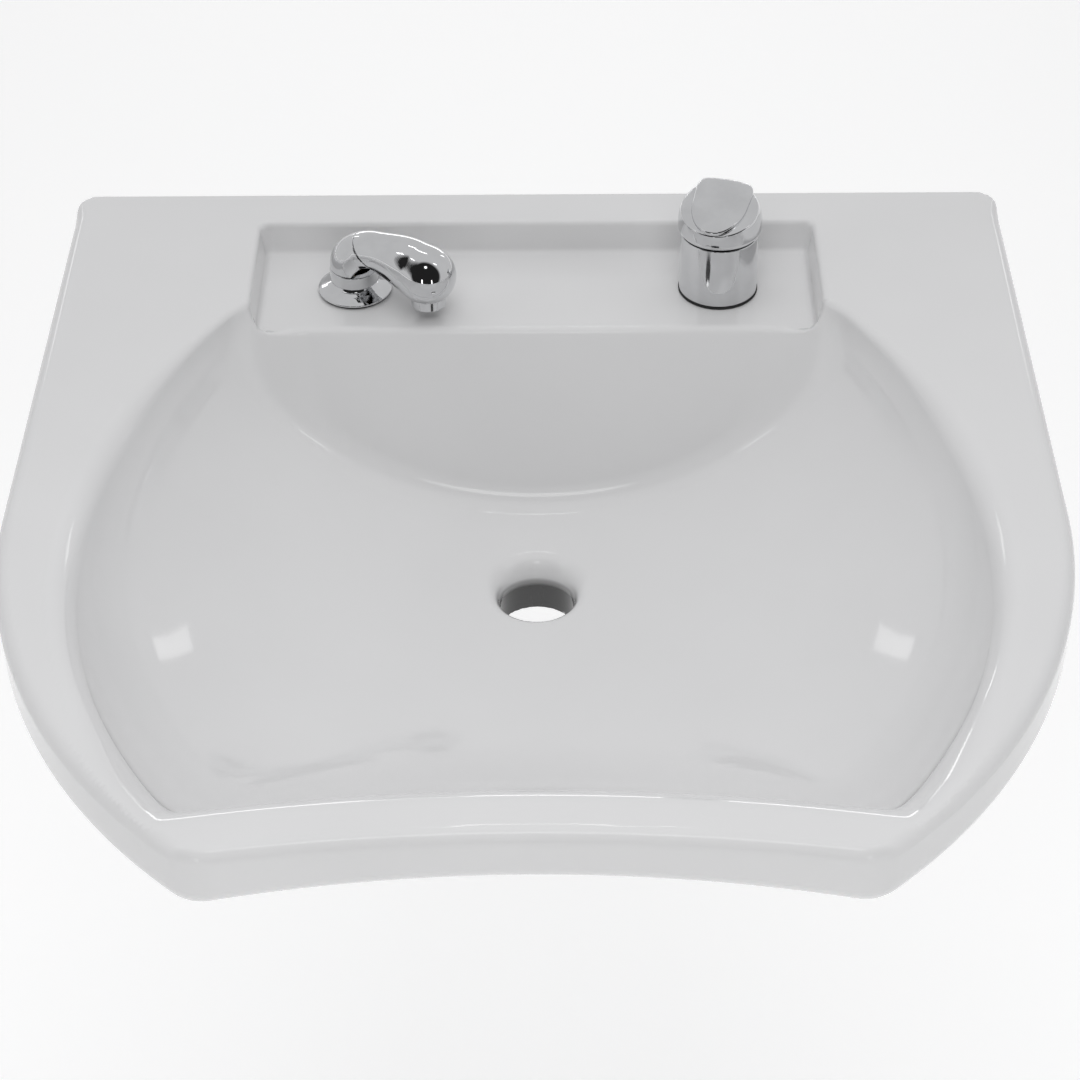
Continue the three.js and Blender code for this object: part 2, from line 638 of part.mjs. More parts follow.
// The neck and arch as one swept body whose thickness grows toward the round head.
function sprayBlank() {
  const spine = new THREE.CatmullRomCurve3([
    new THREE.Vector3(0, 0, 17), new THREE.Vector3(1, 0, 23), new THREE.Vector3(8, 0, 30.5),
    new THREE.Vector3(20, 0, 33.4), new THREE.Vector3(36, 0, 32.6), new THREE.Vector3(HEAD_REACH, 0, HEAD_MIDDLE),
  ], false, "centripetal");
  const thickness = (t) => 15 - 2.3 * smooth(0.05, 0.3, t) + 4 * smooth(0.45, 0.95, t);
  const steps = 12;
  const rings = [];
  for (let i = 0; i <= steps; i += 1) {
    const t = i / steps * 0.94;
    const centre = spine.getPointAt(t);
    const along = i === 0 ? new THREE.Vector3(0, 0, 1) : spine.getTangentAt(t);
    const up = new THREE.Vector3(-along.z, 0, along.x);
    rings.push(Array.from({ length: 24 }, (_, k) => {
      const angle = 2 * Math.PI * k / 24;
      return centre.clone()
        .addScaledVector(up, thickness(t) * Math.cos(angle))
        .add(new THREE.Vector3(0, thickness(t) * Math.sin(angle), 0));
    }));
  }
  return loft(rings).add(ballAt(HEAD_RADIUS, HEAD_MIDDLE, 28).translate([HEAD_REACH, 0, 0]));
}

// Everything on the outer side of the seam plane, which leans across the arch.
function outerSide(shift) {
  const [nx, nz] = [0.64, 0.768];
  const start = 33.9 + shift;
  const at = (across, out) => [-(nx * (start + out) - nz * across), nz * (start + out) + nx * across];
  return sideSlab([at(-120, 0), at(120, 0), at(120, 200), at(-120, 200)], 60).rotate([0, 0, -90]);
}

function sprayNeck() {
  const spigot = rod(10.6, 12, 19, 28);
  const scoop = rod(20, -40, 40, 28).rotate([90, 0, 0]).translate([24, 0, 9]);
  const stem = sprayBlank().intersect(block(-60, 60, -60, 60, 18.3, 90));
  return stem.subtract(outerSide(-CLEARANCE / 2)).subtract(scoop.intersect(block(-60, 80, -60, 60, 18.9, 90))).add(spigot);
}

function sprayHead() {
  const hollow = rod(HEAD_HOLLOW, 0, 17, 28).translate([HEAD_REACH, 0, 0]);
  return sprayBlank().intersect(outerSide(CLEARANCE / 2)).subtract(hollow);
}

function nozzleRing() {
  return tube(10.75, 8.5, 7.5, 16.5, 28).translate([HEAD_REACH, 0, 0]);
}

function sprayPlate() {
  const jets = Array.from({ length: 6 }, (_, i) => {
    const angle = i * Math.PI / 3;
    return rod(0.9, 0, 20, 8).translate([5 * Math.cos(angle), 5 * Math.sin(angle), 0]);
  });
  const plate = rod(8.2, 8.6, 11.4, 24).subtract(joined([...jets, rod(0.9, 0, 20, 8)]));
  return plate.translate([HEAD_REACH, 0, 0]);
}

// ---------------------------------------------------------------- assembly
const material = (color, roughness, metalness) => () => (
  new THREE.MeshStandardMaterial({ color, roughness, metalness })
);
const china = material(0xd8d8da, 0.12, 0);
const chrome = material(0xc9cbce, 0.08, 1);
const brass = material(0xb08d4a, 0.35, 1);
const steel = material(0x9a9c9f, 0.4, 1);
const rubber = material(0x1c1c1d, 0.8, 0);
const plastic = material(0xe6e6e2, 0.45, 0);
const darkPlastic = material(0x3a3c40, 0.5, 0);
const ceramicDisc = material(0xf2efe6, 0.25, 0);

const object = new THREE.Group();
object.name = "wash_basin";

function add(name, solid, makeMaterial) {
  const mesh = new THREE.Mesh(geometryOf(solid), makeMaterial());
  mesh.name = name;
  object.add(mesh);
}

// Pieces drawn about a tap hole, turned about its axis and set on the shelf.
function addAt(side, turn, pieces) {
  for (const [name, solid, makeMaterial] of pieces) {
    add(name, solid.rotate([0, 0, turn]).translate([side * TAP_SPACING, -TAP_DEPTH, SHELF_Z]), makeMaterial);
  }
}

add("basin", basin(), china);

addAt(1, 0, [
  ["mixer_gasket", mixerGasket(), rubber],
  ["mixer_body", mixerBody(), chrome],
  ...Object.keys(TAIL_SPOTS).map((name) => [`mixer_${name}_tail`, placed(hoseTail(), TAIL_SPOTS[name]), brass]),
  ["mixer_stud", placed(mixerStud(), STUD_SPOT), steel],
  ["mixer_clamp_washer", clampPlate(-SHELF_PLATE - 3.3, -SHELF_PLATE - CLEARANCE), rubber],
  ["mixer_clamp_plate", clampPlate(-SHELF_PLATE - 6.6, -SHELF_PLATE - 3.6), steel],
  ["mixer_nut", mixerNut(), brass],
  ["cartridge_housing", cartridgeHousing(), darkPlastic],
  ...Object.keys(TAIL_SPOTS).map((name) => [`cartridge_${name}_seal`, portSeal(name), rubber]),
  ["cartridge_fixed_disc", fixedDisc(), ceramicDisc],
  ["cartridge_nut", cartridgeNut(), brass],
  ["mixer_cover_ring", coverRing(), chrome],
]);

addAt(1, HANDLE_TURN, [
  ["cartridge_moving_disc", movingDisc(), ceramicDisc],
  ["lever_carrier", leverCarrier(), plastic],
  ["lever_pin", leverPin(), steel],
  ["lever_stem", leverStem(), steel],
  ["lever_handle", leverHandle(), chrome],
  ["lever_screw", handleScrew(), steel],
  ["lever_mark", handleMark(), darkPlastic],
]);

addAt(-1, 0, [
  ["holder_gasket", holderGasket(), rubber],
  ["holder_flange", holderFlange(), chrome],
  ["holder_shank", holderShank(), brass],
  ["holder_guide", holderGuide(), plastic],
  ["holder_washer", holderWasher(), rubber],
  ["holder_nut", holderNut(), brass],
  ["spray_tail", sprayTail(), brass],
  ["spray_check_valve", checkValve(), plastic],
  ["spray_swivel_seal", swivelSeal(), rubber],
]);

addAt(-1, SPRAY_TURN, [
  ["spray_collar", sprayCollar(), chrome],
  ["spray_neck", sprayNeck(), chrome],
  ["spray_head", sprayHead(), chrome],
  ["spray_nozzle_ring", nozzleRing(), chrome],
  ["spray_plate", sprayPlate(), darkPlastic],
]);

export default object;
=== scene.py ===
# Looks of the salon wash basin: glazed china with a chrome hand spray and a chrome lever mixer.
# Shapes are worked out in millimetres, +Z up, with the wall at y = 0 and the front towards -Y.
import json
import math

import bpy
import numpy as np
from mathutils import Matrix, Vector


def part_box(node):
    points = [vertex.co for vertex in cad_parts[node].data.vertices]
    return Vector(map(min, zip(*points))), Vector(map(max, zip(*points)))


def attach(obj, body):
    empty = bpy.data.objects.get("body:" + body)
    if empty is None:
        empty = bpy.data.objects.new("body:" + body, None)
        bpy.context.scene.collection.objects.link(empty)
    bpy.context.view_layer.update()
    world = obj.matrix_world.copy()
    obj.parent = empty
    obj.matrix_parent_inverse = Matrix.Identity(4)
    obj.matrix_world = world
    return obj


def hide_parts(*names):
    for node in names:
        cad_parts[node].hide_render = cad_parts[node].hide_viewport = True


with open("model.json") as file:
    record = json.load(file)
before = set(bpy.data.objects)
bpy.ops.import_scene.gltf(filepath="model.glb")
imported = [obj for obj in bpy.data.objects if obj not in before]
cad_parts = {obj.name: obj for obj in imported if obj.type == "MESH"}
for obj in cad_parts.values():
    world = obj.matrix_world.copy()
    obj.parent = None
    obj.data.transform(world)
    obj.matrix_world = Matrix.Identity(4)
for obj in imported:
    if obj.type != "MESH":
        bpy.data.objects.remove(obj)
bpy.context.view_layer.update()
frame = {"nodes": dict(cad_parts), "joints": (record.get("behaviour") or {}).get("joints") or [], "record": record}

MM = 0.001


def box_mm(node):
    """Lowest and highest corner of a CAD node, in millimetres."""
    low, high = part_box(node)
    return np.array(low) / MM, np.array(high) / MM


# ---------------------------------------------------------------- sizes from the frame
BASIN_LOW, BASIN_HIGH = box_mm("basin")
RIM_Z = BASIN_HIGH[2]
HALF_WIDTH = BASIN_HIGH[0]
BOTTOM_DROP = RIM_Z - BASIN_LOW[2]
MIXER_LOW, MIXER_HIGH = box_mm("mixer_body")
FLANGE_LOW, FLANGE_HIGH = box_mm("holder_flange")
MIXER_AXIS = (MIXER_LOW + MIXER_HIGH)[:2] / 2
SPRAY_AXIS = (FLANGE_LOW + FLANGE_HIGH)[:2] / 2
SHELF_Z = box_mm("mixer_gasket")[0][2] - 0.3
SHELF_DROP = RIM_Z - SHELF_Z
TAP_SPACING = MIXER_AXIS[0]
TAP_DEPTH = -MIXER_AXIS[1]

tilt_axis = next(joint for joint in frame["joints"] if joint["name"] == "mixer_flow")["axis"]
HANDLE_TURN = math.atan2(-tilt_axis[1], -tilt_axis[0])
ring_low, ring_high = box_mm("spray_nozzle_ring")
to_head = ((ring_low + ring_high) / 2)[:2] - SPRAY_AXIS
SPRAY_TURN = math.atan2(to_head[1], to_head[0])
HEAD_REACH = float(np.hypot(*to_head))

# ---------------------------------------------------------------- china, as in the CAD part
FRONT_DEPTH = 571         # wall to the middle of the hollow front edge
FRONT_RADIUS = 1000       # plan radius of the hollow front edge
SIDE_RADIUS = 338         # plan radius of the curved front half of each side
SIDE_START = 322          # depth where the straight sides begin to curve in
REAR_TAPER = 2.5          # each side is this much nearer the middle at the wall
REAR_CORNER = 14
FRONT_CORNER = 10         # rounding length that gives the 30 mm front corners
WALL_EDGE, UPPER_EDGE = 2, 8     # radius of the upper edge at the wall and elsewhere
WALL_FOOT, LOWER_EDGE = 3, 10    # radius of the lower edge at the wall and elsewhere
EDGE_BLEND = 30           # depth over which these radii grow
LIP_HEIGHT = 37
LIP_RISE = 5              # its underside rises this much in the middle of the front
LIP_RISE_HALF = 165       # half width of that stretch
SHELL = 12
BOWL_DEPTH = 110          # rim to the bowl floor
BOWL_HALF_WIDTH = 249
BOWL_WIDEST = 350
BOWL_REAR_RADIUS = 395
BOWL_FRONT_RADIUS = 310
BOWL_FRONT = 527
BOWL_FULLNESS = 0.588
DISH_DEPTH = 3            # extra fall of the floor towards the drain
DISH_REACH = 70
MOUTH_REAR, MOUTH_SIDE, MOUTH_FRONT = 4, 13, 22    # radius of the mouth edge along the bowl
MOUTH_REAR_BLEND = (130, 260)    # depths between which that radius changes
MOUTH_FRONT_BLEND = (460, 530)
CREASE_LOW, CREASE_TOP = 8, 22   # fillet between the bowl and the splash wall
THROAT_FRONT, THROAT_REAR = 7, 14
DRAIN_DEPTH = 258         # wall to the drain axis
DRAIN_RADIUS = 23
SPIGOT_RADIUS = 34
SPIGOT_DROP = 146
BORE_SHADE_DROP = 140     # middle of the painted shade inside the drain bore
BORE_SHADE_REACH = (0.03, 0.03, 0.032)    # in metres
SHELF_BACK = 34
SHELF_FRONT = 124
SHELF_HALF = 173
SHELF_PLATE = 13
RECESS_SIDE_SLOPE = 0.16  # the walls of the tap recess lean outwards
RECESS_BACK_SLOPE = 0.12
SPLASH_TOP = 120          # depth of the splash wall at shelf level
SPLASH_SLOPE = 0.702
TAP_HOLE = 17.5
HANGER_SPACING = 140
HANGER_RADIUS = 7
REAR_WALL = 22
HOUSING_HALF = 182
HOUSING_FRONT = 205
HOUSING_FLAT = 34         # the underside is level this far from the wall
HOUSING_RISE = 32         # and then rises this much towards its front


# ---------------------------------------------------------------- insets (positive inside the material)
def smooth(low, high, value):
    t = np.clip((value - low) / (high - low), 0, 1)
    return t * t * (3 - 2 * t)


def rounded(a, b, radius):
    """Inset from two faces that meet in an outer edge of this radius."""
    corner = radius - np.hypot(np.maximum(radius - a, 0), np.maximum(radius - b, 0))
    return corner + np.maximum(np.minimum(a, b) - radius, 0)


def filled(a, b, radius):
    """Inset of two joined bodies with a hollow fillet of this radius between them."""
    return -rounded(-a, -b, radius)


def deck_inset(x, depth):
    x = np.abs(x)
    curved = SIDE_RADIUS - np.hypot(x - HALF_WIDTH + SIDE_RADIUS, depth - SIDE_START)
    taper = REAR_TAPER * np.maximum(1 - depth / SIDE_START, 0)
    side = np.where(depth < SIDE_START, HALF_WIDTH - taper - x, curved)
    front = np.hypot(x, FRONT_DEPTH + FRONT_RADIUS - depth) - FRONT_RADIUS
    return rounded(rounded(side, front, FRONT_CORNER), depth, REAR_CORNER)


def lip_inset(x, depth, drop):
    edge = deck_inset(x, depth)
    from_wall = smooth(0, EDGE_BLEND, depth)
    upper_radius = WALL_EDGE + (UPPER_EDGE - WALL_EDGE) * from_wall
    lower_radius = WALL_FOOT + (LOWER_EDGE - WALL_FOOT) * from_wall
    middle = np.maximum(0, 1 - (x / LIP_RISE_HALF) ** 2)
    height = LIP_HEIGHT - LIP_RISE * middle * smooth(420, 540, depth)
    return np.minimum(rounded(edge, drop, upper_radius), rounded(edge, height - drop, lower_radius))


def mouth_inset(x, depth):
    """How far a plan point lies inside the bowl mouth."""
    blend, sharpness = 25, 6
    ahead = depth > BOWL_WIDEST
    radius = np.where(ahead, BOWL_FRONT_RADIUS, BOWL_REAR_RADIUS)
    total = 0
    for side in (1, -1):
        reach = radius - np.hypot(side * x + radius - BOWL_HALF_WIDTH, depth - BOWL_WIDEST)
        total = total + np.maximum(reach + blend, 0.1) ** -sharpness
    front = np.hypot(x, BOWL_FRONT + FRONT_RADIUS - depth) - FRONT_RADIUS
    total = total + np.maximum(front + blend, 0.1) ** -sharpness
    return total ** (-1 / sharpness) - blend


BOWL_REACH = float(mouth_inset(np.float64(0), np.float64(DRAIN_DEPTH + 30)))


def bowl_hollow(x, depth, drop):
    """Distance into the open bowl, from its curved wall and floor."""
    power = 1 / BOWL_FULLNESS
    dish = DISH_DEPTH * np.exp(-((x ** 2 + (depth - DRAIN_DEPTH) ** 2) / DISH_REACH ** 2))
    rest = 1 - np.minimum(mouth_inset(x, depth) / BOWL_REACH, 1)
    level = np.maximum(drop - dish, 0) / BOWL_DEPTH
    field = level ** power - 1 + rest ** 2
    steep = np.hypot(power / BOWL_DEPTH * level ** (power - 1), 2 * rest / BOWL_REACH)
    return -field / np.maximum(steep, 0.002)


def splash_ahead(depth, drop):
    """Distance in front of the sloping rear wall of the bowl."""
    return (depth - SPLASH_TOP - SPLASH_SLOPE * (drop - SHELF_DROP)) / math.hypot(1, SPLASH_SLOPE)


def recess_hollow(x, depth, drop):
    side = SHELF_HALF - RECESS_SIDE_SLOPE * drop - np.abs(x)
    back = depth - SHELF_BACK - RECESS_BACK_SLOPE * drop
    walls = rounded(rounded(side, back, 5), SHELF_FRONT - depth, 3)
    return rounded(walls, SHELF_DROP - drop, 3.5)


def housing_inset(x, depth, drop):
    across = HOUSING_HALF - np.abs(x)
    rise = np.maximum(depth - HOUSING_FLAT, 0) * HOUSING_RISE / (HOUSING_FRONT - HOUSING_FLAT)
    slope = BOTTOM_DROP - rise - drop
    outside = rounded(rounded(across, rounded(depth, HOUSING_FRONT - depth, 6), 8), slope, 5)
    inner = np.minimum(HOUSING_HALF - SHELL - 2 - np.abs(x), depth - REAR_WALL)
    inner = rounded(inner, -SHELL - splash_ahead(depth, drop), 6)
    inner = rounded(inner, drop - SHELF_DROP - SHELF_PLATE, 5)
    return np.minimum(rounded(outside, drop - 20, 1), -inner), inner


def china_inset(x, y, z):
    depth, drop = -y, RIM_Z - z
    from_drain = np.hypot(x, depth - DRAIN_DEPTH)
    wall = bowl_hollow(x, depth, drop)
    splash = splash_ahead(depth, drop)
    shell = rounded(rounded(wall + SHELL, splash + SHELL, 12), drop - 4, 1)
    spigot = rounded(rounded(SPIGOT_RADIUS - from_drain, SPIGOT_DROP - drop, 3), drop - 100, 1)
    housing, underside = housing_inset(x, depth, drop)
    outer = filled(filled(lip_inset(x, depth, drop), shell, 10), filled(housing, spigot, 4), 8)
    outer = np.minimum(outer, np.maximum(-underside, wall + SHELL))
    crease = CREASE_LOW + (CREASE_TOP - CREASE_LOW) * (1 - smooth(25, 75, drop))
    throat = THROAT_FRONT + (THROAT_REAR - THROAT_FRONT) * smooth(0, 22, DRAIN_DEPTH - depth)
    bowl = rounded(-rounded(wall, splash, crease), from_drain - DRAIN_RADIUS, throat)
    recess = -recess_hollow(x, depth, drop)
    near_recess = smooth(-6, 6, bowl - recess)
    mouth_radius = MOUTH_REAR + (MOUTH_SIDE - MOUTH_REAR) * smooth(*MOUTH_REAR_BLEND, depth)
    mouth_radius = mouth_radius + (MOUTH_FRONT - MOUTH_SIDE) * smooth(*MOUTH_FRONT_BLEND, depth)
    away = rounded(bowl, recess, 3)
    inset = np.minimum(outer, rounded(away, drop, mouth_radius + (3 - mouth_radius) * near_recess))
    inset = np.minimum(inset, depth)
    tap_hole = np.hypot(np.abs(x) - TAP_SPACING, depth - TAP_DEPTH) - TAP_HOLE
    hanger_hole = np.maximum(np.hypot(np.abs(x) - HANGER_SPACING, z) - HANGER_RADIUS, depth - REAR_WALL - 10)
    return rounded(rounded(inset, tap_hole, 1.5), hanger_hole, 1.5)


# ---------------------------------------------------------------- meshes
def gradient(inset, points, reach=0.05):
    """Direction in which the inset grows fastest, at each point."""
    slopes = []
    for axis in range(3):
        ahead, behind = points.copy(), points.copy()
        ahead[:, axis] += reach
        behind[:, axis] -= reach
        slopes.append((inset(*ahead.T) - inset(*behind.T)) / (2 * reach))
    return np.stack(slopes, axis=1)


def onto_surface(inset, points, most):
    """Moves points to where the inset is zero, by at most this much each time."""
    for _ in range(3):
        slope = gradient(inset, points)
        size = np.maximum((slope ** 2).sum(axis=1), 0.05)
        move = -slope * (inset(*points.T) / size)[:, None]
        length = np.maximum(np.linalg.norm(move, axis=1), 1e-9)
        points = points + move * np.minimum(1, most / length)[:, None]
    return points


def net_of(inset, low, high, step):
    """Points and four-sided faces of a closed net where the inset changes sign on a grid."""
    axes = [np.arange(a - 1.5 * step, b + 2.5 * step, step) for a, b in zip(low, high)]
    values = inset(*np.meshgrid(*axes, indexing="ij", sparse=True)).astype(np.float32)
    solid = values > 0
    corners = [(i, j, k) for i in (0, 1) for j in (0, 1) for k in (0, 1)]
    cells = tuple(n - 1 for n in solid.shape)

    def shifted(array, corner):
        i, j, k = corner
        return array[i:i + cells[0], j:j + cells[1], k:k + cells[2]]

    count = sum(shifted(solid, corner).astype(np.int8) for corner in corners)
    mixed = (count > 0) & (count < 8)
    number = np.full(cells, -1)
    number[mixed] = np.arange(mixed.sum())
    total, crossings = np.zeros((mixed.sum(), 3)), np.zeros(mixed.sum())
    for first in corners:
        for axis in range(3):
            if first[axis]:
                continue
            second = tuple(1 if n == axis else c for n, c in enumerate(first))
            a, b = shifted(values, first)[mixed], shifted(values, second)[mixed]
            crossed = (a > 0) != (b > 0)
            share = a / np.where(crossed, a - b, 1)
            place = np.tile(np.array(first, float), (len(a), 1))
            place[:, axis] = share
            total += place * crossed[:, None]
            crossings += crossed
    start = np.array([axis[0] for axis in axes])
    points = start + step * (np.argwhere(mixed) + total / crossings[:, None])

    faces = []
    for axis in range(3):
        u, v = [n for n in range(3) if n != axis]
        ends = [slice(1, -1)] * 3
        ends[axis] = slice(0, -1)
        after = list(ends)
        after[axis] = slice(1, None)
        before_solid, after_solid = solid[tuple(ends)], solid[tuple(after)]
        for turned, edge in ((False, before_solid & ~after_solid), (True, ~before_solid & after_solid)):
            at = np.argwhere(edge)
            at[:, u] += 1
            at[:, v] += 1
            ring = []
            for du, dv in ((-1, -1), (0, -1), (0, 0), (-1, 0)):
                cell = at.copy()
                cell[:, u] += du
                cell[:, v] += dv
                ring.append(number[cell[:, 0], cell[:, 1], cell[:, 2]])
            flip = turned != (axis == 1)
            faces.append(np.stack(ring[::-1] if flip else ring, axis=1))
    return points, np.concatenate(faces)


def relaxed(points, faces):
    """Each point moved to the middle of the faces around it, which evens out the net."""
    middles = points[faces].mean(axis=1)
    total, count = np.zeros_like(points), np.zeros(len(points))
    for corner in range(4):
        np.add.at(total, faces[:, corner], middles)
        np.add.at(count, faces[:, corner], 1)
    return total / count[:, None]


def mesh_object(name, points, faces, normals):
    mesh = bpy.data.meshes.new(name)
    mesh.from_pydata(points * MM, [], faces)
    mesh.polygons.foreach_set("use_smooth", [True] * len(mesh.polygons))
    mesh.normals_split_custom_set_from_vertices(normals)
    piece = bpy.data.objects.new(name, mesh)
    bpy.context.scene.collection.objects.link(piece)
    return piece


def carved(name, inset, low, high, step):
    """Closed piece bounded by the surface where the inset is zero."""
    points, faces = net_of(inset, low, high, step)
    for _ in range(2):
        points = onto_surface(inset, points, step / 2)
        points = relaxed(points, faces)
    points = onto_surface(inset, points, step / 2)
    slope = gradient(inset, points)
    normals = -slope / np.maximum(np.linalg.norm(slope, axis=1), 1e-6)[:, None]
    return mesh_object(name, points, faces, normals)


def placed(inset, axis, turn):
    """The same inset about a vertical axis on the tap shelf, turned about it."""
    cos, sin = math.cos(turn), math.sin(turn)

    def moved(x, y, z):
        across, along = x - axis[0], y - axis[1]
        return inset(across * cos + along * sin, along * cos - across * sin, z - SHELF_Z)

    return moved


def turned_piece(name, profile, axis, base=SHELF_Z, segments=128):
    """Turned piece from a closed profile of (radius, height, edge radius) corners, counter-clockwise."""
    rings = []
    count = len(profile)
    for i, (r, z, edge) in enumerate(profile):
        here = np.array([r, z], float)
        before = np.array(profile[i - 1][:2], float) - here
        after = np.array(profile[(i + 1) % count][:2], float) - here
        before_length, after_length = np.linalg.norm(before), np.linalg.norm(after)
        back, ahead = before / before_length, after / after_length
        half = math.acos(np.clip(back @ ahead, -1, 1)) / 2
        reach = min(edge / math.tan(half), before_length * 0.49, after_length * 0.49)
        radius = reach * math.tan(half)
        bisector = (back + ahead) / np.linalg.norm(back + ahead)
        centre = here + bisector * radius / math.sin(half)
        for t in np.linspace(0, 1, 5):
            from_centre = (here + back * reach - centre) * (1 - t) + (here + ahead * reach - centre) * t
            outward = from_centre / np.linalg.norm(from_centre)
            hollow = back[0] * ahead[1] - back[1] * ahead[0] > 0
            rings.append((centre + outward * radius, -outward if hollow else outward))
    angles = 2 * np.pi * np.arange(segments) / segments
    points, normals = [], []
    for (r, z), (nr, nz) in rings:
        points.append(np.stack([r * np.cos(angles), r * np.sin(angles), np.full(segments, z)], axis=1))
        normals.append(np.stack([nr * np.cos(angles), nr * np.sin(angles), np.full(segments, nz)], axis=1))
    points = np.concatenate(points) + np.array([axis[0], axis[1], base])
    faces = []
    for level in range(len(rings)):
        low, high = level * segments, (level + 1) % len(rings) * segments
        for i in range(segments):
            j = (i + 1) % segments
            faces.append((low + i, low + j, high + j, high + i))
    return mesh_object(name, points, faces, np.concatenate(normals))


# ---------------------------------------------------------------- hand spray
def polygon_inset(points):
    """Inset of a flat closed outline."""
    def inset(x, y):
        nearest = np.full(np.broadcast(x, y).shape, 1e9)
        inside = np.zeros(nearest.shape, bool)
        for (ax, ay), (bx, by) in zip(points, np.roll(points, -1, axis=0)):
            ex, ey = bx - ax, by - ay
            t = np.clip(((x - ax) * ex + (y - ay) * ey) / (ex * ex + ey * ey), 0, 1)
            nearest = np.minimum(nearest, np.hypot(x - ax - t * ex, y - ay - t * ey))
            if ey:
                crosses = (ay > y) != (by > y)
                inside ^= crosses & (x < ax + (y - ay) * ex / ey)
        return np.where(inside, nearest, -nearest)

    return inset


def spine_points(knots, steps):
    """Points along a centripetal spline through the knots, spaced evenly."""
    knots = np.array(knots, float)
    knots = np.vstack([2 * knots[0] - knots[1], knots, 2 * knots[-1] - knots[-2]])
    curve = []
    for a, b, c, d in zip(knots, knots[1:], knots[2:], knots[3:]):
        gaps = [np.linalg.norm(q - p) ** 0.5 for p, q in ((a, b), (b, c), (c, d))]
        start = ((b - a) / gaps[0] - (c - a) / (gaps[0] + gaps[1]) + (c - b) / gaps[1]) * gaps[1]
        end = ((c - b) / gaps[1] - (d - b) / (gaps[1] + gaps[2]) + (d - c) / gaps[2]) * gaps[1]
        for t in np.linspace(0, 1, 40, endpoint=False):
            lead = (2 * t ** 3 - 3 * t ** 2 + 1) * b + (t ** 3 - 2 * t ** 2 + t) * start
            curve.append(lead + (3 * t ** 2 - 2 * t ** 3) * c + (t ** 3 - t ** 2) * end)
    curve.append(knots[-2])
    curve = np.array(curve)
    lengths = np.concatenate([[0], np.cumsum(np.linalg.norm(np.diff(curve, axis=0), axis=1))])
    wanted = np.linspace(0, lengths[-1], steps)
    return np.stack([np.interp(wanted, lengths, curve[:, n]) for n in range(2)], axis=1)


HEAD_RADIUS = 17.5
HEAD_MIDDLE = 27.6
ARCH_RADIUS = 15
ARCH_WAIST = 2.3          # the arch is thinner by this much past the neck
ARCH_SWELL = 4            # and thicker by this much towards the head
SEAM_NORMAL = (0.64, 0.768)
SEAM_REACH = 33.9
SEAM_GAP = 0.2            # on each side of the seam
SPINE = spine_points([(0, 17), (1, 23), (8, 30.5), (20, 33.4), (36, 32.6), (HEAD_REACH, HEAD_MIDDLE)], 90)


def spray_blank(x, y, z):
    """Neck, arch and round head as one body."""
    arch = np.full(np.broadcast(x, y, z).shape, -1e3, np.float32)
    last = int(0.94 * len(SPINE))
    for i in range(last):
        t = i / (last - 1)
        thickness = ARCH_RADIUS - ARCH_WAIST * smooth(0.05, 0.3, t) + ARCH_SWELL * smooth(0.45, 0.95, t)
        gap = np.sqrt((x - SPINE[i][0]) ** 2 + y ** 2 + (z - SPINE[i][1]) ** 2)
        arch = np.maximum(arch, thickness - gap)
    head = HEAD_RADIUS - np.sqrt((x - HEAD_REACH) ** 2 + y ** 2 + (z - HEAD_MIDDLE) ** 2)
    return filled(arch, head, 3)


def beyond_seam(x, z):
    """Distance past the seam that leans across the arch."""
    return SEAM_NORMAL[0] * x + SEAM_NORMAL[1] * z - SEAM_REACH


def neck_inset(x, y, z):
    scoop = np.hypot(x - 24, z - 9) - 20
    body = rounded(spray_blank(x, y, z), z - 18.3, 0.5)
    return rounded(rounded(body, scoop, 0.8), -SEAM_GAP - beyond_seam(x, z), 0.4)


def head_inset(x, y, z):
    hollow = np.hypot(x - HEAD_REACH, y) - 11.2
    body = rounded(spray_blank(x, y, z), beyond_seam(x, z) - SEAM_GAP, 0.4)
    return rounded(body, np.maximum(hollow, z - 17), 0.6)


# ---------------------------------------------------------------- lever handle
FACE_TIP = (-24.1, 56.3)
FACE_BACK = (17, 68.3)
LEAF_STEP = 2
PIVOT = 30
PIVOT_BALL = 22.7         # radius of the clear ball inside the handle
HANDLE_FOOT = 43.3
MARK_TURN = math.radians(8)


def leaf_outline():
    """Tongue shape of the raised leaf, drawn as a half and mirrored."""
    def curve(a, b, c, d, steps):
        t = np.linspace(0, 1, steps, endpoint=False)[:, None]
        a, b, c, d = (np.array(p, float) for p in (a, b, c, d))
        return (1 - t) ** 3 * a + 3 * (1 - t) ** 2 * t * b + 3 * (1 - t) * t ** 2 * c + t ** 3 * d

    right = np.concatenate([
        curve((0, -25), (9, -25), (16, -14), (16.8, -3), 16),
        curve((16.8, -3), (17, 1), (17.2, 5), (17.4, 9), 3),
        curve((17.4, 9), (17.4, 14), (15, 16.6), (10, 16.8), 8),
        curve((10, 16.8), (6.5, 17.3), (3, 17.6), (0, 17.6), 5),
        [(0, 17.6)],
    ])
    left = right[1:-1][::-1] * [-1, 1]
    return np.concatenate([right, left])


leaf_inset = polygon_inset(leaf_outline())


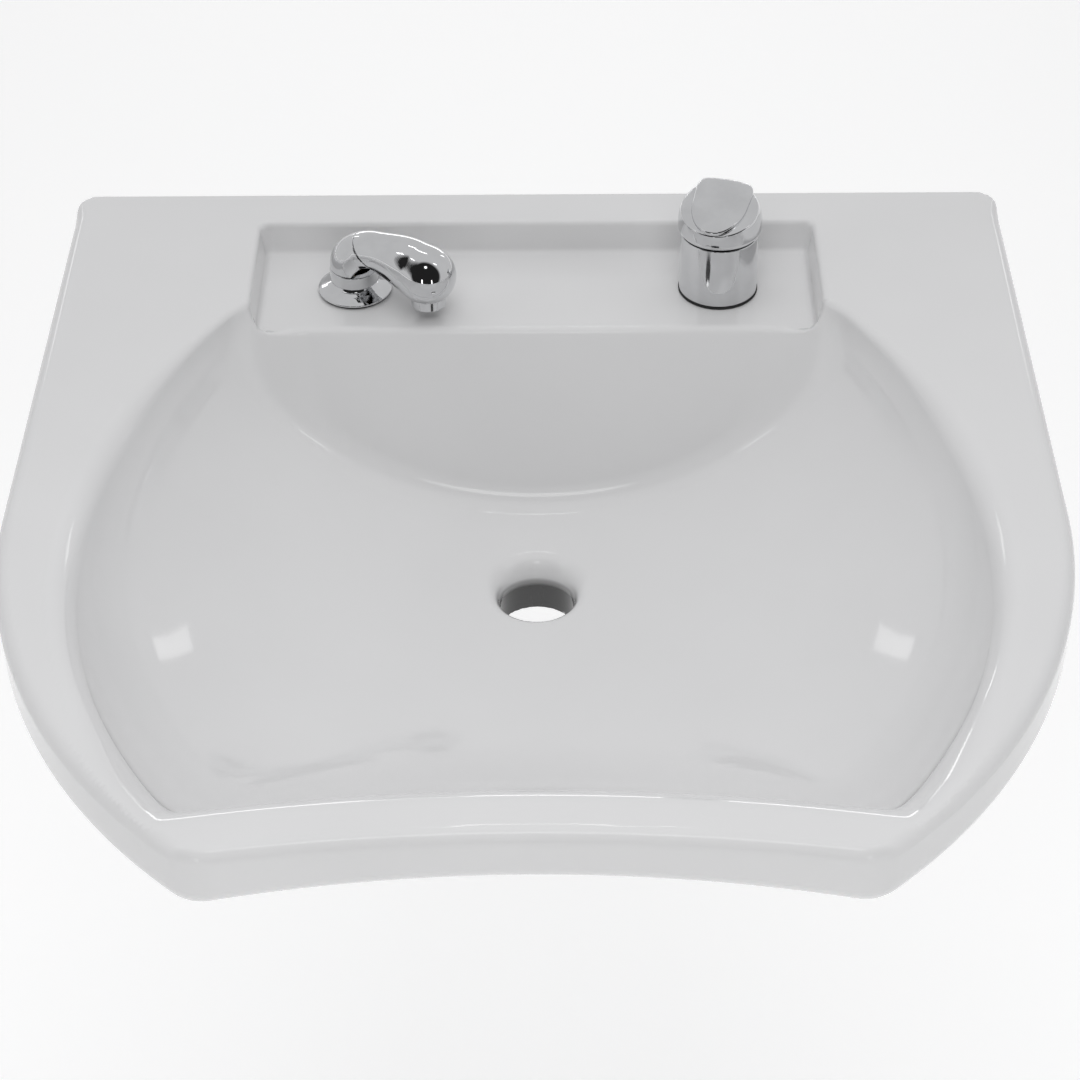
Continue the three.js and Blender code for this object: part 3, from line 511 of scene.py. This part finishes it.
def handle_inset(x, y, z):
    radius, fullness, widest, height = 25.7, 2.6, 47, 24
    r = np.hypot(x, y)
    rise = np.maximum(z - widest, 0) / height
    share = (r / radius) ** fullness + rise ** fullness
    steep = fullness * np.hypot((r / radius) ** (fullness - 1) / radius, rise ** (fullness - 1) / height)
    dome = (1 - share) / np.maximum(steep, 0.01) - 1.5 * (np.maximum(widest - z, 0) / 3.7) ** 2
    dome = rounded(dome, z - HANDLE_FOOT, 0.5)
    slope = (FACE_BACK[1] - FACE_TIP[1]) / (FACE_BACK[0] - FACE_TIP[0])
    below_face = (FACE_TIP[1] + slope * (y - FACE_TIP[0]) - z) / math.hypot(1, slope)
    shoulders = rounded(dome, below_face - LEAF_STEP, 0.5)
    leaf = rounded(leaf_inset(x, y), rounded(below_face, LEAF_STEP + 0.6 - below_face, 0.4), 0.7)
    body = np.maximum(shoulders, leaf)
    ball = np.sqrt(x ** 2 + y ** 2 + (z - PIVOT) ** 2) - PIVOT_BALL
    screw_hole = np.maximum(np.hypot(x, z - 57.5) - 2.3, 4 - y)
    relief = np.maximum(z - HANDLE_FOOT - 9.8 / 30 * y, -y)
    mark_y = y * math.cos(MARK_TURN) - x * math.sin(MARK_TURN)
    mark_x = x * math.cos(MARK_TURN) + y * math.sin(MARK_TURN)
    slot = np.maximum(np.maximum(np.abs(mark_x) - 2.2, np.abs(z - 46.75) - 0.55), mark_y + 24.2)
    for cut in (ball, screw_hole, relief, slot):
        body = np.minimum(body, cut)
    return body


# ---------------------------------------------------------------- materials
class Nodes:
    """Small helper to wire up the nodes of one material."""

    def __init__(self, name):
        self.material = bpy.data.materials.new(name)
        self.material.use_nodes = True
        self.tree = self.material.node_tree
        self.shader = self.tree.nodes["Principled BSDF"]
        self.place = self.add("ShaderNodeTexCoord").outputs["Object"]

    def add(self, kind, **values):
        node = self.tree.nodes.new(kind)
        for name, value in values.items():
            if hasattr(node, name):
                setattr(node, name, value)
            else:
                node.inputs[name.replace("_", " ")].default_value = value
        return node

    def link(self, source, target):
        self.tree.links.new(source, target)

    def noise(self, scale, detail=3, roughness=0.5):
        node = self.add("ShaderNodeTexNoise", Scale=scale, Detail=detail, Roughness=roughness)
        self.link(self.place, node.inputs["Vector"])
        return node.outputs["Fac"]

    def ramp(self, source, stops):
        node = self.add("ShaderNodeValToRGB")
        self.link(source, node.inputs["Fac"])
        elements = node.color_ramp.elements
        while len(elements) < len(stops):
            elements.new(0.5)
        for element, (position, colour) in zip(elements, stops):
            element.position = position
            element.color = (*colour, 1) if len(colour) == 3 else (colour[0],) * 3 + (1,)
        return node.outputs["Color"]

    def spread(self, source, low, high):
        node = self.add("ShaderNodeMapRange")
        self.link(source, node.inputs["Value"])
        node.inputs["From Min"].default_value = 0.3
        node.inputs["From Max"].default_value = 0.7
        node.inputs["To Min"].default_value = low
        node.inputs["To Max"].default_value = high
        return node.outputs["Result"]

    def bump(self, source, depth_mm, strength=1.0):
        node = self.add("ShaderNodeBump", Strength=strength, Distance=depth_mm * MM)
        self.link(source, node.inputs["Height"])
        self.link(node.outputs["Normal"], self.shader.inputs["Normal"])

    def shade(self, **values):
        for name, value in values.items():
            self.shader.inputs[name.replace("_", " ")].default_value = value


def ellipsoid(nodes, middle, reach):
    """Soft ellipsoid: one in the middle, nothing beyond its reach."""
    place = nodes.add("ShaderNodeMapping", vector_type="TEXTURE")
    place.inputs["Location"].default_value = middle
    place.inputs["Scale"].default_value = reach
    nodes.link(nodes.place, place.inputs["Vector"])
    shade = nodes.add("ShaderNodeTexGradient", gradient_type="SPHERICAL")
    nodes.link(place.outputs["Vector"], shade.inputs["Vector"])
    return shade.outputs["Fac"]


def china():
    nodes = Nodes("glazed_china")
    nodes.shade(Roughness=0.07, IOR=1.52, Coat_Weight=0.25, Coat_Roughness=0.03)
    tone = nodes.noise(9, detail=2)
    glaze = nodes.ramp(tone, [(0.3, (0.715, 0.715, 0.72)), (0.7, (0.735, 0.735, 0.74))])
    # A darker tone inside the drain bore stands in for the deep shade there.
    bore = ellipsoid(nodes, (0, -DRAIN_DEPTH * MM, (RIM_Z - BORE_SHADE_DROP) * MM), BORE_SHADE_REACH)
    bore_painted_shade = nodes.ramp(bore, [(0.03, (1, 1, 1)), (0.14, (0.03, 0.03, 0.03))])
    colour = nodes.add("ShaderNodeMixRGB", blend_type="MULTIPLY", Fac=1)
    nodes.link(glaze, colour.inputs["Color1"])
    nodes.link(bore_painted_shade, colour.inputs["Color2"])
    nodes.link(colour.outputs["Color"], nodes.shader.inputs["Base Color"])
    nodes.link(nodes.spread(nodes.noise(40, detail=4), 0.055, 0.09), nodes.shader.inputs["Roughness"])
    nodes.bump(nodes.noise(14, detail=1.5, roughness=0.4), 0.25)
    return nodes.material


def metal(name, colour, roughness, spread, smudge_scale, bump_mm, bump_scale):
    nodes = Nodes(name)
    nodes.shade(Metallic=1.0)
    darker = tuple(0.93 * c for c in colour)
    nodes.link(nodes.ramp(nodes.noise(smudge_scale), [(0.35, darker), (0.65, colour)]),
               nodes.shader.inputs["Base Color"])
    nodes.link(nodes.spread(nodes.noise(smudge_scale * 1.7, detail=5), roughness, roughness + spread),
               nodes.shader.inputs["Roughness"])
    nodes.bump(nodes.noise(bump_scale, detail=2), bump_mm)
    return nodes.material


def plastic(name, colour, roughness, bump_mm):
    nodes = Nodes(name)
    nodes.shade(IOR=1.47)
    darker = tuple(0.85 * c for c in colour)
    nodes.link(nodes.ramp(nodes.noise(150), [(0.3, darker), (0.7, colour)]),
               nodes.shader.inputs["Base Color"])
    nodes.link(nodes.spread(nodes.noise(400), roughness, roughness + 0.1), nodes.shader.inputs["Roughness"])
    nodes.bump(nodes.noise(1400, detail=2), bump_mm)
    return nodes.material


FINISH = {
    "china": china(),
    "chrome": metal("polished_chrome", (0.72, 0.725, 0.735), 0.02, 0.03, 60, 0.01, 60),
    "brass": metal("plain_brass", (0.68, 0.49, 0.23), 0.25, 0.15, 90, 0.02, 900),
    "steel": metal("plain_steel", (0.56, 0.57, 0.58), 0.28, 0.15, 90, 0.02, 900),
    "rubber": plastic("black_rubber", (0.022, 0.022, 0.023), 0.6, 0.02),
    "dark_plastic": plastic("dark_plastic", (0.045, 0.048, 0.055), 0.35, 0.01),
    "white_plastic": plastic("white_plastic", (0.78, 0.78, 0.75), 0.35, 0.01),
    "disc_ceramic": plastic("disc_ceramic", (0.85, 0.83, 0.78), 0.15, 0.002),
}


# ---------------------------------------------------------------- pieces
def fit(piece, body, nodes, slot):
    """Makes a piece stand for CAD nodes of one body, in the finish of its slot."""
    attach(piece, body)
    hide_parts(*nodes)
    piece.data.materials.clear()
    piece.data.materials.append(FINISH[slot])


def node_box(*names):
    corners = [box_mm(name) for name in names]
    return np.min([low for low, _ in corners], axis=0), np.max([high for _, high in corners], axis=0)


def build_basin():
    piece = carved("basin_china", china_inset, BASIN_LOW, BASIN_HIGH, 2.4)
    fit(piece, "basin", ["basin"], "china")


def build_spray():
    low, high = node_box("spray_neck")
    neck = carved("spray_neck_chrome", placed(neck_inset, SPRAY_AXIS, SPRAY_TURN), low, high, 0.6)
    fit(neck, "hand_spray", ["spray_neck"], "chrome")
    low, high = node_box("spray_head")
    head = carved("spray_head_chrome", placed(head_inset, SPRAY_AXIS, SPRAY_TURN), low, high, 0.6)
    fit(head, "hand_spray", ["spray_head"], "chrome")
    collar = turned_piece("spray_collar_chrome", [
        (11, 9.3, 0.3), (15.1, 9.3, 0.6), (15.1, 18, 0.6), (11, 18, 0.3),
    ], SPRAY_AXIS)
    fit(collar, "hand_spray", ["spray_collar"], "chrome")
    middle = SPRAY_AXIS + to_head
    ring = turned_piece("spray_nozzle_ring_chrome", [
        (8.5, 7.5, 0.5), (10.7, 7.5, 0.7), (10.7, 16.5, 0.3), (8.5, 16.5, 0.2),
    ], middle)
    fit(ring, "hand_spray", ["spray_nozzle_ring"], "chrome")
    flange = turned_piece("holder_flange_chrome", [
        (16.8, 1.8, 0.1), (22.7, 1.8, 0.3), (22.7, 2.8, 0.4), (20.6, 4, 3), (17, 5.6, 6), (14, 7.2, 3),
        (12.9, 8.8, 0.3), (10.1, 8.8, 0.2), (10.1, 3.6, 0.2), (16.8, 3.6, 0.2),
    ], SPRAY_AXIS)
    fit(flange, "basin", ["holder_flange"], "chrome")
    gasket = turned_piece("holder_gasket_rubber", [
        (17, 0.3, 0.2), (21.5, 0.3, 0.2), (21.5, 1.5, 0.2), (17, 1.5, 0.2),
    ], SPRAY_AXIS)
    fit(gasket, "basin", ["holder_gasket"], "rubber")


def build_mixer():
    body = turned_piece("mixer_body_chrome", [
        (4, 2.1, 0.1), (24, 2.1, 0.3), (24, 42, 0.5), (18.3, 42, 0.2), (18.3, 12, 0.2), (4, 12, 0.2),
    ], MIXER_AXIS, segments=160)
    fit(body, "basin", ["mixer_body"], "chrome")
    gasket = turned_piece("mixer_gasket_rubber", [
        (17, 0.3, 0.2), (24.4, 0.3, 0.3), (24.4, 1.8, 0.3), (17, 1.8, 0.2),
    ], MIXER_AXIS)
    fit(gasket, "basin", ["mixer_gasket"], "rubber")
    ring = turned_piece("mixer_cover_ring_chrome", [
        (15.6, 39.2, 0.2), (18, 39.2, 0.1), (18, 42, 0.1), (18.4, 42.1, 0.1), (16.5, 44.6, 3),
        (13.96, 47, 0.3), (11.15, 46.6, 0.2), (13.2, 45, 1), (15.6, 42, 0.2),
    ], MIXER_AXIS)
    fit(ring, "basin", ["mixer_cover_ring"], "chrome")
    low, high = node_box("lever_handle")
    handle = carved("lever_handle_chrome", placed(handle_inset, MIXER_AXIS, HANDLE_TURN), low, high, 0.5)
    fit(handle, "lever", ["lever_handle"], "chrome")


def finish_carried_over():
    """Gives every CAD node that is still shown the finish of its slot."""
    for row in frame["record"]["subparts"]:
        node = frame["nodes"][row["node"]]
        if not node.hide_render:
            node.data.materials.clear()
            node.data.materials.append(FINISH[row["material_slot"]])


# ---------------------------------------------------------------- studio
CAMERA_HEIGHT = 0.976     # above the rim
CAMERA_AHEAD = 1.531      # in front of the wall
CAMERA_ASIDE = 0.0133     # right of the middle of the basin
CAMERA_PITCH = 39.5
CAMERA_YAW = 0.5          # turned to the left
CAMERA_ROLL = -0.58       # tipped up a little on the right
LENS = 94.6               # on a 36 mm sensor
FLOOR_Z = -0.79
FLOOR_HALF = 30
LAMP_TARGET = (0, -0.3, 0)


def build_camera():
    data = bpy.data.cameras.new("camera")
    data.lens = LENS
    data.sensor_width = 36
    data.clip_end = 50
    camera = bpy.data.objects.new("camera", data)
    turn = Matrix.Rotation(math.radians(CAMERA_YAW), 3, "Z")
    turn = turn @ Matrix.Rotation(math.radians(90 - CAMERA_PITCH), 3, "X")
    turn = turn @ Matrix.Rotation(math.radians(CAMERA_ROLL), 3, "Z")
    camera.location = (CAMERA_ASIDE, -CAMERA_AHEAD, RIM_Z * MM + CAMERA_HEIGHT)
    camera.rotation_euler = turn.to_euler()
    bpy.context.scene.collection.objects.link(camera)
    bpy.context.scene.camera = camera


def build_floor():
    signs = [(-1, -1), (1, -1), (1, 1), (-1, 1)]
    corners = [(FLOOR_HALF * across, FLOOR_HALF * along, FLOOR_Z) for across, along in signs]
    mesh = bpy.data.meshes.new("floor")
    mesh.from_pydata(corners, [], [(0, 1, 2, 3)])
    floor = bpy.data.objects.new("floor", mesh)
    bpy.context.scene.collection.objects.link(floor)
    nodes = Nodes("pale_floor")
    nodes.shade(Base_Color=(0.9, 0.9, 0.9, 1), Roughness=0.9)
    nodes.shade(Emission_Color=(1, 1, 1, 1), Emission_Strength=0.35)
    floor.data.materials.append(nodes.material)


def area_light(name, place, target, width, height, power, shape="RECTANGLE"):
    data = bpy.data.lights.new(name, "AREA")
    data.shape = shape
    data.size = width
    data.size_y = height
    data.energy = power
    light = bpy.data.objects.new(name, data)
    light.location = place
    direction = Vector(target) - Vector(place)
    light.rotation_euler = direction.to_track_quat("-Z", "Y").to_euler()
    light.visible_camera = False
    bpy.context.scene.collection.objects.link(light)
    return light


def build_world():
    """Soft pale studio with a dark patch in front, where the room behind the lamps shows."""
    world = bpy.data.worlds.new("studio")
    world.use_nodes = True
    bpy.context.scene.world = world
    tree = world.node_tree
    direction = tree.nodes.new("ShaderNodeTexCoord")
    patch = tree.nodes.new("ShaderNodeMapping")
    patch.vector_type = "TEXTURE"
    patch.inputs["Location"].default_value = (0, -0.88, 0.47)
    patch.inputs["Scale"].default_value = (0.98, 0.98, 0.98)
    shade = tree.nodes.new("ShaderNodeTexGradient")
    shade.gradient_type = "SPHERICAL"
    ramp = tree.nodes.new("ShaderNodeValToRGB")
    ramp.color_ramp.elements[0].position = 0.02
    ramp.color_ramp.elements[0].color = (0.64, 0.64, 0.645, 1)
    ramp.color_ramp.elements[1].position = 0.16
    ramp.color_ramp.elements[1].color = (0.02, 0.02, 0.02, 1)
    tree.links.new(direction.outputs["Generated"], patch.inputs["Vector"])
    tree.links.new(patch.outputs["Vector"], shade.inputs["Vector"])
    tree.links.new(shade.outputs["Fac"], ramp.inputs["Fac"])
    tree.links.new(ramp.outputs["Color"], tree.nodes["Background"].inputs["Color"])


def build_lights():
    """Large lamps light the china softly; only the small ones show in the glaze and chrome."""
    above = area_light("lamp_above", (0, -0.6, 1.9), LAMP_TARGET, 1.4, 1.4, 11)
    ahead = area_light("lamp_ahead", (0, -1.9, 1.9), LAMP_TARGET, 1.8, 1.2, 14)
    low = area_light("lamp_low", (0, -2.2, 0.35), LAMP_TARGET, 1.6, 0.7, 3.5)
    for lamp in (above, ahead, low):
        lamp.visible_glossy = False
    area_light("lamp_spot", (0, -1.05, 1.8), LAMP_TARGET, 0.34, 0.34, 0.55, "DISK")
    area_light("lamp_rear", (0, 0.8, 1.65), LAMP_TARGET, 0.3, 0.06, 0.24)
    area_light("backdrop", (0, 2.6, 0.17), (0, 0, 0.17), 2.2, 0.26, 4.5)
    for side in (-1, 1):
        area_light("lamp_beside", (side * 1.1, 1.4, 0.75), (0, -0.35, 0), 0.11, 0.4, 0.22)
        area_light("lamp_overhead", (side, -0.3, 1.75), LAMP_TARGET, 0.12, 0.4, 0.3)
        area_light("lamp_strip", (side * 0.5, -1.8, 0.25), LAMP_TARGET, 0.12, 0.5, 0.5)


bpy.context.scene.view_settings.view_transform = "Standard"
build_basin()
build_spray()
build_mixer()
finish_carried_over()
build_floor()
build_world()
build_lights()
build_camera()

bpy.context.view_layer.update()
